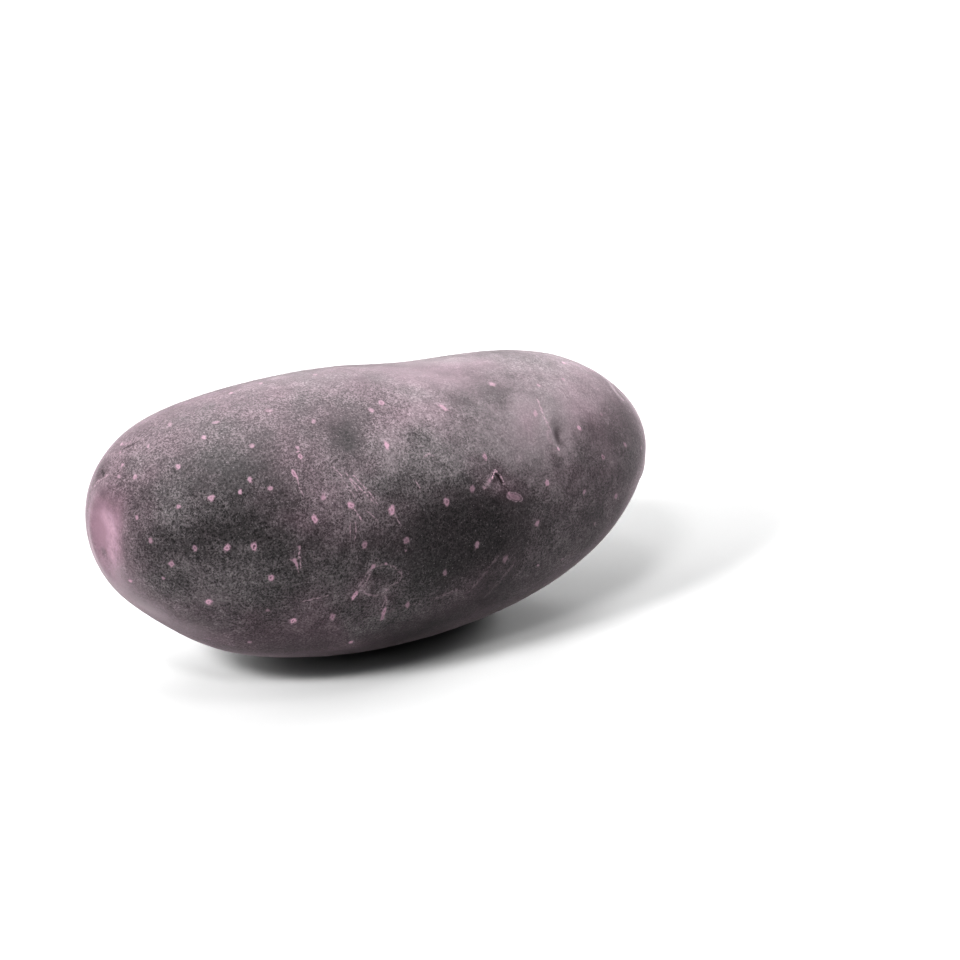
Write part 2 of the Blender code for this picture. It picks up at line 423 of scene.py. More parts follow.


# Fine lines in the skin, by pixels of the photograph: half width in millimetres, how pale (or dark,
# below 0, painted shade in slits, cracks and a pit), and the points that they pass through. Lines that
# run near each other are in different sets.
lineSets = [
    [
        (0.13, 0.75, [
            (496.6, 472), (498.4, 472.8), (501, 476.4), (503, 480.4), (504.2, 485), (506.6, 489.4),
        ]),
        (0.18, 0.5, [(376.5, 561.5), (372, 568), (369, 576), (364, 585)]),
        (0.15, 0.36, [(401, 571), (402, 577), (397.5, 582.5), (392, 585)]),
        (0.48, 1.9, [(495.6, 472.4), (492.8, 475.2), (491.2, 478.6)]),
        (0.44, 0.5, [(491.2, 478.6), (488, 483.4), (485, 487.6)]),
        (0.18, 0.6, [(292.2, 559.6), (295.4, 560.2), (297.2, 565), (298.4, 570)]),
        (0.13, 0.66, [(350.8, 479), (358, 486), (366, 494), (372, 501)]),
        (0.14, 0.5, [(394.5, 513.5), (397, 518), (399.4, 522.5)]),
        (0.26, 0.45, [(95.2, 485.4), (98.8, 481.3), (102.3, 480), (106.8, 475.6)]),
        (0.30, 0.24, [(432, 600), (444, 595), (456, 590)]),
        (0.11, 0.5, [(297.5, 480), (299, 487), (303, 494.5)]),
        (0.11, 0.5, [(334.6, 468.3), (341, 475)]),
        (0.34, 0.16, [(512, 566), (500, 580), (486, 596)]),
        (0.11, 0.6, [(355.6, 523.6), (356, 531), (354.6, 539)]),
        (0.13, 0.6, [(417, 482.6), (419.4, 487)]),
    ],
    [
        (0.20, -1.0, [(495.6, 474.4), (497.6, 475.6), (499.6, 478.8), (501.8, 483.4)]),
        (0.16, 0.36, [(378, 566), (385.5, 563.6), (394, 566.5), (400, 573)]),
        (0.20, 0.42, [(387, 590), (381, 594.5), (374, 596), (367, 594), (361, 590)]),
        (0.15, 0.8, [(300.2, 557.4), (300.6, 563), (300.4, 567.4)]),
        (0.13, 0.66, [(354, 476), (362, 485), (370, 493.5), (376.5, 502)]),
        (0.17, -0.9, [(124.0, 449), (128.2, 446.4), (132.4, 445), (136.8, 442)]),
        (0.30, 0.16, [(388, 612), (402, 606), (420, 603)]),
        (0.11, 0.5, [(369, 512), (376.7, 519.8)]),
        (0.11, 0.45, [(384.6, 601), (381.6, 608), (378, 613)]),
        (0.11, 0.4, [(344.6, 482), (350, 490), (354.6, 497)]),
        (0.11, 0.5, [(350, 525), (350.6, 533.4)]),
        (0.18, -0.5, [(508, 492), (505.6, 488.5), (503.8, 485.4)]),
    ],
    [
        (0.16, 0.5, [(385, 596), (387, 603), (384, 611)]),
        (0.16, 0.45, [(368, 572), (364, 578), (360, 585)]),
        (0.30, -0.95, [(102.8, 471.6), (103.8, 473.3), (104.0, 475.0)]),
        (0.13, 0.55, [(347, 474), (352, 483), (358, 492)]),
        (0.13, 0.75, [(353, 508), (357, 513.5), (361, 519)]),
        (0.22, 0.45, [(537.6, 400), (545.4, 420), (551, 432)]),
        (0.14, 0.8, [(299.6, 549), (298.8, 556)]),
        (0.13, 0.42, [(425.6, 456), (429.4, 453.6), (433.6, 456.4)]),
        (0.14, 0.6, [(304, 601), (314, 599), (328, 595.6)]),
        (0.32, 0.2, [(498, 556), (486, 572), (470, 590)]),
        (0.10, 0.42, [
            (506.4, 495.2), (507.6, 492.6), (511.6, 492.2), (516.2, 493.0), (520.8, 495.6), (523.0, 498.6),
            (521.4, 501.2), (517.2, 501.6), (512.8, 501.0), (508.0, 498.4), (506.4, 495.2),
        ]),
    ],
]
lines = {
    "full": 0.00035,  # this near to the line its mark is full, and past the next it is gone
    "gone": 0.00075,
    "rise": 0.00003,
    "riseWidth": 1.5,  # of the line's half width
}


def markLines(points, tree, eye, lineSet):
    local = np.zeros((len(points), 3))
    local[:, 0] = farOff
    best = np.full(len(points), farOff)
    rise = np.zeros(len(points))
    for halfWidth, paleness, pixels in lineSet:
        found = [castPixel(tree, eye, x, y) for x, y in pixels]
        for (start, out), (end, _) in zip(found, found[1:]):
            way = np.array(end - start)
            side = np.array(out.cross(end - start).normalized())
            away = points - np.array(start)
            share = np.clip(away @ way / (way @ way), 0, 1)
            gap = away - share[:, None] * way
            distance = np.linalg.norm(gap, axis=1)
            rows = np.where((distance < lines["gone"]) & (distance < best))[0]
            best[rows] = distance[rows]
            sign = np.where(gap[rows] @ side < 0, -1, 1)
            fade = np.clip((lines["gone"] - distance[rows]) / (lines["gone"] - lines["full"]), 0, 1)
            local[rows, 0] = sign * distance[rows] / (halfWidth / perMetre)
            local[rows, 1] = paleness * fade
            width = lines["riseWidth"] * halfWidth / perMetre
            rise[rows] = paleness * np.exp(-(distance[rows] / width) ** 2)
    return local, rise * lines["rise"]


# Broad tone of the skin, part of it painted light and shade, by pixels of the photograph: x, y, half width,
# half height, amount
tonePatches = {
    "scarTone": [
        (104, 530, 16, 30, 0.95), (110, 508, 13, 10, 0.05), (110, 570, 12, 12, 0.1), (119, 514, 5, 14, 0.2),
        (104, 552, 2.4, 3, -0.5),
    ],
    # the pale ridge of the scar, partly a painted highlight along its lit side
    "scarRidge": [
        (106, 514, 7, 6, 0.26), (109, 522, 7, 7, 0.42), (112, 532, 6, 8, 0.50), (113, 543, 6, 8, 0.45),
        (113, 554, 5.5, 7, 0.4), (114, 564, 5, 7, 0.16), (92, 545, 4, 14, 0.15), (98, 529, 6, 14, -0.25),
        (104, 552, 3, 4, -0.5), (110, 578, 8, 6, 0.15), (93, 514, 5, 7, 0.2), (108, 530, 4, 6, -0.2),
        (112, 546, 4, 6, 0.2), (105, 560, 8, 7, 0.2),
    ],
    "scurf": [
        (322, 500, 30, 30, 1.0), (352, 500, 26, 20, 0.6), (163, 514, 11, 9, 1.0), (185, 492, 9, 11, 0.8),
        (197, 512, 7, 11, 0.9), (134, 508, 6, 6, 0.8), (480, 450, 16, 10, 0.5), (390, 480, 22, 16, 0.5),
        (300, 440, 14, 16, 0.5), (245, 590, 30, 14, 0.4), (367, 579, 6, 12, 1.1), (380, 594, 12, 5, 1.1),
        (362, 589, 8, 6, 0.9), (384, 606, 6, 9, 0.8), (375, 565, 6, 6, 0.8), (396, 574, 7, 11, 0.9),
        (384, 616, 8, 6, 0.6), (130, 455, 20, 12, 0.5), (185, 425, 20, 12, 0.3), (330, 455, 12, 16, 0.5),
        (185, 560, 10, 10, 0.6),
    ],
    "dustAndPaintedLight": [  # dust and painted light and shade: above 0 dust, in places also lightening the top and a swelling; below 0 the skin is darkened, bare skin and painted shade under the potato, in the saddle dent, round an eye and at the lower right, where a neighbouring potato's shadow is painted
        (415, 415, 42, 26, 0.45), (340, 500, 36, 26, 0.38), (480, 385, 50, 20, 0.04),
        (565, 380, 40, 36, 0.40), (526, 430, 30, 34, 0.55), (432, 462, 40, 14, 0.2),
        (225, 580, 34, 20, 0.25), (150, 600, 24, 12, 0.2), (260, 396, 70, 16, 0.14),
        (146, 600, 24, 16, 0.4), (200, 630, 30, 14, 0.2), (124, 580, 14, 10, 0.4), (120, 530, 14, 40, 0.12),
        (195, 470, 50, 18, -0.16), (235, 535, 60, 16, -0.3), (450, 532, 46, 30, -0.75),
        (340, 435, 14, 16, -0.45), (375, 402, 14, 10, -0.15), (470, 590, 50, 22, -0.15),
        (390, 643, 70, 12, -0.9), (455, 622, 40, 16, -0.1), (290, 500, 26, 14, -0.15),
        (500, 520, 24, 30, -0.3), (491, 478.5, 2.5, 4.5, 0.6), (487, 484.5, 3, 3, 0.4),
        (493, 487, 8, 6, 0.25), (498, 466, 9, 5, -0.35), (101, 468.5, 5, 6, -0.2), (364, 588, 6, 5, 0.35),
        (374, 566, 5, 5, 0.35), (383, 592, 6, 5, 0.3), (313, 390, 3, 8, 0.3), (140, 442, 22, 14, -0.12),
        (215, 438, 38, 20, -0.06), (260, 478, 20, 30, -0.20), (205, 505, 24, 14, -0.1),
        (272, 545, 14, 12, -0.33), (255, 520, 16, 12, -0.2), (168, 525, 14, 12, 0.3),
        (180, 500, 10, 10, 0.22), (118, 442, 10, 14, 0.1), (225, 402, 34, 8, -0.15),
        (140, 515, 14, 24, 0.22), (190, 576, 8, 12, 0.2), (235, 640, 24, 7, 0.15), (400, 612, 50, 12, 0.12),
        (358, 645, 14, 4, 0.2), (440, 620, 30, 7, 0.15), (285, 391, 30, 9, -0.12), (345, 376, 30, 6, -0.1),
        (384, 396, 14, 12, -0.12), (305, 415, 14, 8, -0.16), (348, 440, 10, 14, -0.12),
        (474, 540, 18, 12, -0.15), (160, 458, 20, 18, 0.16), (180, 503, 10, 14, 0.12),
        (160, 520, 10, 8, 0.1), (205, 602, 12, 7, 0.2), (288, 620, 12, 9, 0.2), (352, 645, 16, 4, 0.2),
        (527, 420, 10, 20, 0.28), (458, 462, 10, 8, 0.16), (430, 458, 10, 8, 0.12), (462, 622, 26, 6, 0.1),
        (135, 577, 12, 8, 0.15), (182, 421, 12, 8, -0.2), (216, 426, 14, 9, -0.2), (270, 433, 12, 7, -0.15),
        (190, 560, 8, 8, -0.08), (480, 481, 7, 10, -0.2), (490, 545, 20, 14, -0.2), (470, 595, 24, 8, -0.1),
        (508, 367, 22, 6, -0.15), (440, 361, 14, 5, 0.12), (470, 370, 16, 6, -0.18),
        (478, 381, 12, 6, -0.15), (540, 384, 14, 10, 0.2), (460, 395, 10, 8, -0.18), (414, 392, 9, 8, 0.14),
        (426, 401, 8, 6, -0.2), (488, 430, 10, 10, 0.18), (172, 518, 14, 12, 0.12), (197, 568, 7, 7, 0.15),
        (325, 612, 12, 8, 0.12), (228, 641, 16, 6, 0.15), (480, 457, 10, 12, -0.15),
        (507, 402, 8, 12, -0.15), (206, 634, 12, 7, -0.12), (567, 400, 14, 14, 0.3),
        (590, 408, 12, 10, 0.18), (551, 428, 10, 14, 0.32), (535, 436, 10, 8, 0.1),
        (470, 425, 18, 8, -0.12), (97, 472, 6, 10, -0.3), (291, 585, 8, 10, 0.15), (470, 478, 8, 8, 0.12),
        (497, 480, 5, 6, 0.2), (485, 538, 16, 12, -0.4), (450, 578, 26, 12, -0.12), (180, 420, 12, 7, -0.1),
        (225, 405, 14, 6, -0.1), (260, 405, 10, 6, -0.08), (347, 439, 8, 10, -0.2),
        (330, 415, 12, 6, -0.08), (130, 465, 8, 8, -0.1), (322, 391, 8, 8, 0.15), (366, 391, 12, 6, 0.15),
        (263, 424, 8, 10, 0.12), (155, 484, 9, 9, 0.15), (150, 523, 8, 7, -0.2), (203, 634, 10, 6, -0.15),
        (350, 430, 10, 12, -0.12), (250, 465, 16, 14, -0.1), (465, 392, 24, 12, -0.1),
        (418, 437, 12, 10, -0.25), (290, 424, 18, 14, -0.2), (362, 412, 14, 10, -0.12),
        (310, 505, 10, 8, -0.12), (333, 525, 10, 12, -0.15), (316, 575, 14, 10, -0.15),
        (262, 590, 12, 8, -0.2), (225, 562, 16, 8, -0.12), (388, 497, 16, 6, -0.15),
        (470, 572, 24, 14, -0.12), (500, 515, 8, 24, -0.2), (505, 455, 20, 10, 0.12),
        (268, 418, 14, 8, 0.22), (430, 417, 14, 8, 0.2), (312, 445, 16, 14, 0.12), (390, 440, 16, 14, 0.12),
        (250, 546, 22, 8, 0.22), (124, 576, 14, 14, 0.3), (212, 598, 20, 10, 0.22),
        (318, 608, 24, 12, 0.22), (440, 605, 34, 10, 0.15), (350, 590, 10, 10, 0.12),
        (138, 498, 16, 8, -0.28), (205, 480, 20, 16, -0.12), (365, 418, 16, 10, -0.16),
        (500, 395, 16, 10, -0.15), (488, 600, 12, 12, -0.35), (207, 632, 14, 10, -0.1),
        (290, 648, 36, 8, -0.3), (290, 490, 10, 8, 0.12), (350, 475, 12, 8, 0.12), (190, 548, 8, 14, -0.25),
        (240, 545, 16, 8, 0.15), (165, 588, 14, 10, -0.2), (215, 600, 20, 10, 0.15),
        (380, 395, 14, 12, -0.15), (450, 402, 24, 10, -0.14), (500, 400, 16, 12, -0.15),
        (415, 398, 8, 14, 0.2), (385, 443, 15, 14, 0.36), (402, 465, 14, 8, 0.2), (318, 438, 13, 16, 0.2),
        (350, 450, 9, 7, -0.28), (480, 455, 40, 13, 0.24), (480, 470, 10, 9, 0.08), (445, 480, 30, 8, 0.12),
        (530, 427, 15, 24, 0.4), (318, 483, 16, 8, 0.12), (310, 530, 12, 16, 0.16),
        (355, 530, 10, 12, 0.15), (412, 516, 20, 20, 0.18), (482, 545, 24, 16, -0.42),
        (418, 575, 22, 12, -0.2), (445, 606, 30, 8, 0.14),
    ],
    # painted rim sheen: pale haze painted along the outline and the top edge, a painted highlight at the
    # rim
    "paintedRimSheen": [
        (330, 372, 90, 9, 0.13), (455, 361, 60, 9, 0.28), (560, 362, 50, 12, 0.12), (265, 384, 34, 7, 0.06),
        (200, 402, 50, 9, 0.05), (104, 566, 9, 12, 0.14), (95, 520, 8, 50, 0.13), (120, 586, 13, 11, 0.60),
        (150, 610, 20, 7, 0.68), (190, 629, 20, 8, 0.48), (98, 560, 6, 14, 0.12), (95, 498, 6, 8, 0.14),
        (412, 371, 26, 6, 0.10), (425, 376, 44, 8, 0.16), (310, 378, 30, 8, 0.08),
    ],
    "soft": [
        (500, 420, 56, 44, 0.45), (610, 420, 50, 60, 0.5), (440, 372, 110, 14, 0.35),
    ],
    "mauve": [
        (102, 520, 24, 60, 0.9), (420, 376, 80, 18, 0.45), (300, 647, 100, 16, 1.3),
        (590, 400, 40, 50, 0.3), (300, 420, 80, 36, 0.45), (110, 455, 20, 30, 0.3),
        (478, 600, 24, 24, 0.25), (235, 398, 44, 18, 0.25), (450, 462, 36, 20, -0.4),
        (200, 525, 60, 22, -0.4), (240, 575, 44, 20, -0.5), (400, 480, 24, 16, -0.4),
        (150, 430, 40, 20, 0.1), (400, 590, 30, 24, -0.4), (470, 520, 24, 20, -0.3),
        (430, 565, 24, 20, -0.2), (520, 400, 40, 24, -0.3), (440, 369, 36, 9, 0.35),
        (400, 412, 22, 14, 0.35), (350, 388, 24, 10, 0.3), (388, 600, 10, 12, 0.5),
        (298, 520, 20, 10, 0.45), (355, 530, 12, 12, 0.2), (478, 468, 20, 12, 0.5),
        (496, 464, 10, 10, 0.35), (505, 488, 16, 10, 0.7), (100, 467, 10, 10, 1.2),
        (180, 425, 40, 24, 0.35), (275, 649, 50, 9, 0.8), (527, 420, 12, 20, 0.5), (345, 612, 10, 24, -0.4),
        (270, 432, 14, 14, -0.25), (210, 412, 12, 16, -0.2), (375, 378, 20, 8, -0.3),
        (160, 495, 30, 14, -0.2), (325, 492, 14, 10, 0.3), (295, 560, 6, 10, 0.5), (360, 380, 10, 8, 0.3),
        (275, 393, 10, 6, 0.3), (440, 410, 20, 8, 0.35), (150, 505, 10, 10, 0.3), (480, 364, 20, 5, 0.4),
        (418, 392, 12, 10, -0.3), (490, 457, 12, 10, -0.35), (435, 466, 18, 12, -0.3),
        (160, 515, 26, 8, -0.25), (352, 628, 12, 16, -0.5), (255, 595, 40, 14, -0.25),
        (352, 597, 8, 6, 0.4), (378, 446, 14, 8, -0.2), (116, 567, 8, 8, -0.6), (148, 475, 10, 12, 0.3),
        (150, 518, 12, 12, 0.3), (370, 583, 16, 8, 0.4), (255, 617, 12, 10, 0.4), (315, 605, 10, 10, 0.3),
        (235, 465, 26, 30, -0.15), (298, 400, 14, 14, -0.4), (275, 380, 22, 7, 0.2),
        (175, 405, 26, 8, 0.25), (462, 378, 22, 10, 0.3), (318, 418, 30, 12, 0.2), (395, 432, 18, 16, 0.3),
        (250, 650, 40, 8, 0.7), (212, 448, 24, 34, -0.2), (130, 466, 18, 14, -0.3),
        (372, 632, 24, 12, -0.6), (375, 485, 18, 8, -0.4), (388, 618, 36, 13, -0.75),
        (165, 585, 16, 12, -0.4), (435, 470, 20, 10, -0.3), (460, 410, 20, 12, -0.3),
        (420, 438, 20, 12, -0.3), (450, 545, 24, 20, 0.25),
    ],
}
patch = {
    "steepest": 0.4,  # share of its size that a patch on a slope shows, at least
    "sharpness": 0.7,
}


def markTone(points, tree, eye, patches):
    right, up, _ = viewAxes()
    tone = np.zeros(len(points))
    for x, y, halfWidth, halfHeight, amount in patches:
        place, out = castPixel(tree, eye, x, y)
        pixel = pixelSize(place, eye)
        across, upward = tangents(out, right)
        away = points - np.array(place)
        a = away @ np.array(across) / (halfWidth * pixel) * max(patch["steepest"], across.dot(right))
        b = away @ np.array(upward) / (halfHeight * pixel) * max(patch["steepest"], upward.dot(up))
        c = away @ np.array(out) / (max(halfWidth, halfHeight) * pixel)
        tone += amount * np.exp(-(a ** 2 + b ** 2 + c ** 2) * patch["sharpness"])
    return tone


hidden = {  # where the skin is turned away from the camera, or is past a pixel column and below a slope
    "facing": 0.25,
    "column": 520,
    "columnFade": 40,
    "corner": (540, 455),
    "slope": 0.65,
    "slopeFade": 25,
    "amounts": {  # of the tones scattered there
        "scurf": 0.5,
        "dustAndPaintedLight": 0.45,
        "mauve": 0.45,
    },
    "count": 26,
    "reach": 0.010,
    "spread": (0.5, 1.2),
    "nearest": -0.2,  # on the way from the near side, -1, to the far side, 1
    "seed": 5,
}


def hiddenShare(points, normals, eye):
    ray = points - np.array(eye)
    facing = -(normals * ray).sum(1) / np.linalg.norm(ray, axis=1)
    x, y = pixelsOf(points, eye)
    cornerX, cornerY = hidden["corner"]
    past = (x - hidden["column"]) / hidden["columnFade"]
    below = (y - cornerY + hidden["slope"] * (x - cornerX)) / hidden["slopeFade"]
    return np.clip(np.maximum(1 - facing / hidden["facing"], np.minimum(past, below)), 0, 1)


def markHiddenTone(points, middle, most, seed):
    tone = np.zeros(len(points))
    draw = random.Random(seed)
    for _ in range(hidden["count"]):
        way = np.array([[draw.uniform(-1, 1), draw.uniform(hidden["nearest"], 1), draw.uniform(-1, 1)]])
        way /= np.linalg.norm(way)
        centre = bodyPoints(way)[0] + middle
        amount = draw.uniform(-1, 1) * most
        reach = hidden["reach"] * draw.uniform(*hidden["spread"])
        tone += amount * np.exp(-((points - centre) ** 2).sum(1) / reach ** 2)
    return tone


wrinkles = {
    "coarse": 0.00004,
    "coarseScale": 260,  # per metre
    "fine": 0.000012,
    "fineScale": 1100,
}


def wrinkleOffset(points, normals):
    height = np.array([
        wrinkles["coarse"] * noise.noise(Vector(p) * wrinkles["coarseScale"])
        + wrinkles["fine"] * noise.noise(Vector(p) * wrinkles["fineScale"])
        for p in points
    ])
    return height[:, None] * normals


def readVectors(items, key):
    values = np.zeros(len(items) * 3)
    items.foreach_get(key, values)
    return values.reshape(-1, 3)


def store(mesh, name, values):
    kind, key = ("FLOAT_VECTOR", "vector") if values.ndim == 2 else ("FLOAT", "value")
    mesh.attributes.new(name, kind, "POINT").data.foreach_set(key, values.astype(np.float32).ravel())


def buildSkin():
    bm = gridBox(tuber["cuts"])
    mesh = bpy.data.meshes.new("potatoSkin")
    bm.to_mesh(mesh)
    bm.free()
    points = bodyPoints(ballDirections(readVectors(mesh.vertices, "co")))
    points += formOffset(points)
    eyeMove, pit, brow, crease = eyeOffset(points)
    points += eyeMove + scarOffset(points)
    middle = placeInFrame(points)
    points += middle
    mesh.vertices.foreach_set("co", points.ravel())
    mesh.update()
    skin = bpy.data.objects.new("potatoSkin", mesh)
    bpy.context.collection.objects.link(skin)
    store(mesh, "eyePitShade", pit)
    store(mesh, "eyeBrow", brow)
    store(mesh, "eyeCreaseShade", crease)
    return skin, middle


def finishSkin(skin, middle, eye):
    mesh = skin.data
    bpy.context.view_layer.update()
    tree = BVHTree.FromObject(skin, bpy.context.evaluated_depsgraph_get())
    points = readVectors(mesh.vertices, "co")
    normals = readVectors(mesh.vertex_normals, "vector")
    marks = placedPores(tree, eye)
    scatterPores(marks, tree, eye, middle)
    local, strength, rise = markPores(points, marks)
    store(mesh, "pore", local)
    store(mesh, "poreStrength", strength)
    for i, lineSet in enumerate(lineSets):
        line, lineRise = markLines(points, tree, eye, lineSet)
        store(mesh, f"line{i}", line)
        rise += lineRise
    share = hiddenShare(points, normals, eye)
    store(mesh, "hiddenSide", share)
    for i, (name, patches) in enumerate(tonePatches.items()):
        tone = markTone(points, tree, eye, patches)
        if name in hidden["amounts"]:
            tone += share * markHiddenTone(points, middle, hidden["amounts"][name], hidden["seed"] + i)
        store(mesh, name, tone)
    points = points + rise[:, None] * normals + wrinkleOffset(points, normals)
    points[:, 2] = np.maximum(points[:, 2], 0)
    mesh.vertices.foreach_set("co", points.ravel())
    mesh.update()
    mesh.shade_smooth()
    print("skin:", len(mesh.vertices), "points,", 2 * len(mesh.polygons), "triangles")


skin, middle = buildSkin()
finishSkin(skin, middle, placeCamera(middle))


class Tree:
    def __init__(self, tree):
        self.tree = tree

    def fill(self, node, inputs):
        for key, value in inputs.items():
            if isinstance(value, bpy.types.NodeSocket):
                self.tree.links.new(value, node.inputs[key])
            else:
                node.inputs[key].default_value = value

    def add(self, kind, inputs=None, **settings):
        node = self.tree.nodes.new("ShaderNode" + kind)
        for name, value in settings.items():
            setattr(node, name, value)
        self.fill(node, inputs or {})
        return node

    def math(self, operation, a, b=0.0, clamp=False):
        return self.add("Math", {0: a, 1: b}, operation=operation, use_clamp=clamp).outputs[0]

    def plus(self, a, b, clamp=False):
        return self.math("ADD", a, b, clamp)

    def minus(self, a, b):
        return self.math("SUBTRACT", a, b)

    def times(self, a, b, clamp=False):
        return self.math("MULTIPLY", a, b, clamp)

    def ramp(self, value, low, high, toLow=0.0, toHigh=1.0):
        inputs = {"Value": value, "From Min": low, "From Max": high, "To Min": toLow, "To Max": toHigh}
        return self.add("MapRange", inputs, interpolation_type="SMOOTHSTEP").outputs[0]

    def mix(self, amount, a, b):
        return self.add("Mix", {0: amount, 6: a, 7: b}, data_type="RGBA").outputs[2]

    def scaled(self, vector, amount):
        return self.add("VectorMath", {0: vector, "Scale": amount}, operation="SCALE").outputs[0]

    def attribute(self, name, output="Fac"):
        return self.add("Attribute", attribute_name=name).outputs[output]


skinLook = {
    "colours": {
        "dark": (0.0105, 0.0093, 0.0098, 1),
        "slate": (0.041, 0.0375, 0.0385, 1),
        "mauve": (0.066, 0.0435, 0.053, 1),
        "dustAndSheen": (0.36, 0.32, 0.335, 1),
        "dustAndSheenPink": (0.390, 0.307, 0.343, 1),
        "pore": (0.47, 0.31, 0.38, 1),
        "poreMiddle": (0.10, 0.055, 0.078, 1),
        "scar": (0.34, 0.215, 0.27, 1),
        # pale scar ridge, partly a painted highlight
        "scarPale": (0.52, 0.36, 0.435, 1),
        "line": (0.50, 0.36, 0.42, 1),
        # painted shade for eye pits, creases and dark slits
        "pit": (0.020, 0.010, 0.014, 1),
        "sheen": (0.98, 0.83, 0.90, 1),
    },
    "noises": {  # how fine, per millimetre, and the detail, roughness and distortion, if any
        "worms": (1.9, 1.5, 0.55, 0.8),  # pale flecks about 0.5 mm apart
        "specks": (3.0, 1.5, 0.6),
        "clumps": (0.6, 3.0, 0.7),
        "drift": (0.16, 3.0, 0.6),
        "slowDrift": (0.24, 2.0, 0.55),
        "patches": (0.55, 3.0, 0.65),
        "sparks": (4.2, 1.0, 0.5),
        "curls": (1.1, 1.5, 0.55, 1.4),
        "curlClumps": (0.8, 2.0, 0.5),
        "mauve": (0.11, 3.0, 0.6),
        "mottle": (2.2, 2.0, 0.7),
        "ridgeFlecks": (2.4, 2.0, 0.6),
        "browGrain": (1.1, 2.0, 0.5),
        "creaseGrain": (1.4, 2.0, 0.5),
        "wander": (1.6, 2.0, 0.6),
        "breaks": (2.2, 2.0, 0.6),
        "wobble": (2.0, 2.0, 0.6),
    },
    "ramps": {  # from, to, and what these two become, if not 0 and 1
        "worms": (0.10, 0.0),
        "specks": (0.42, 0.64),
        "clumps": (0.30, 0.68, 0.6, 1.2),
        "dustAndSheen": (-0.25, 0.9, 0.18, 0.76),
        "hazeAndPaintedSheen": (0.1, 1.1, 0.0, 0.33),
        "bareAndPaintedShade": (-1.0, 0.0, 0.25, 1.0),
        "sparks": (0.68, 0.76),
        "curls": (0.045, 0.0),
        "curlClumps": (0.40, 0.60),
        "mauve": (-0.4, 0.7),
        "mottle": (0.34, 0.62),
        "scar": (0.0, 1.0, 0.0, 0.92),
        "ridgePatches": (0.30, 0.66, 0.55, 1.25),
        "ridgeFlecks": (0.36, 0.62, 0.80, 1.12),
        "eyePitShade": (0.35, 1.0),
        "eyeBrow": (0.4, 1.0),
        "browGrain": (0.4, 0.65),
        "creaseGrain": (0.30, 0.60, 0.3, 0.85),
        "line": (1.7, 0.1),
        "breaks": (0.36, 0.56),
        "pore": (1.20, 0.35),
        "poreMiddle": (0.30, -0.10),
        "roughness": (-0.3, 0.9, 0.40, 0.75),
    },
    "amounts": {
        "drift": 1.1,
        "slowDrift": 0.5,
        "patches": 0.55,
        "bareness": 0.545,
        "worms": 0.5,
        "specks": 0.5,
        "evenGrain": 0.42,
        "scurf": 0.66,
        "sparks": 0.5,
        "mauveNoise": 1.2,
        "mauveShift": -0.6,
        "mauve": 0.8,
        "scarPatches": 0.35,
        "eyePitShade": 0.8,
        "brow": 0.2,
        "hiddenBrow": 0.5,  # on top of that, where it isn't in the photograph
        "wander": 3.0,
        "wobble": 1.5,
        "pore": 0.85,
        "poreMiddle": 0.9,
        "poreMiddleWidth": 0.45,
        "grainRelief": 0.35,
        "curlRelief": 0.5,
        "poreRelief": 0.8,
        "poreMiddleRelief": 1.5,
    },
    "bumpStrength": 0.6,
    "bumpHeight": 0.00005,
    "specular": 0.30,
    "sheen": 0.6,
    "sheenRoughness": 0.28,
    "noiseMiddle": 0.5,
}
colours, noises, ramps, amounts = (skinLook[key] for key in ("colours", "noises", "ramps", "amounts"))


class SkinTree(Tree):
    def __init__(self, tree):
        super().__init__(tree)
        self.millimetres = self.scaled(self.add("TexCoord").outputs["Object"], perMetre)

    def noise(self, name):
        inputs = dict(zip(("Scale", "Detail", "Roughness", "Distortion"), noises[name]))
        return self.add("TexNoise", {"Vector": self.millimetres, **inputs}).outputs[0]

    def aboutZero(self, name):
        return self.minus(self.noise(name), skinLook["noiseMiddle"])

    def flecks(self, name):
        return self.ramp(self.noise(name), *ramps[name])

    def worms(self, name):
        return self.ramp(self.math("ABSOLUTE", self.aboutZero(name)), *ramps[name])


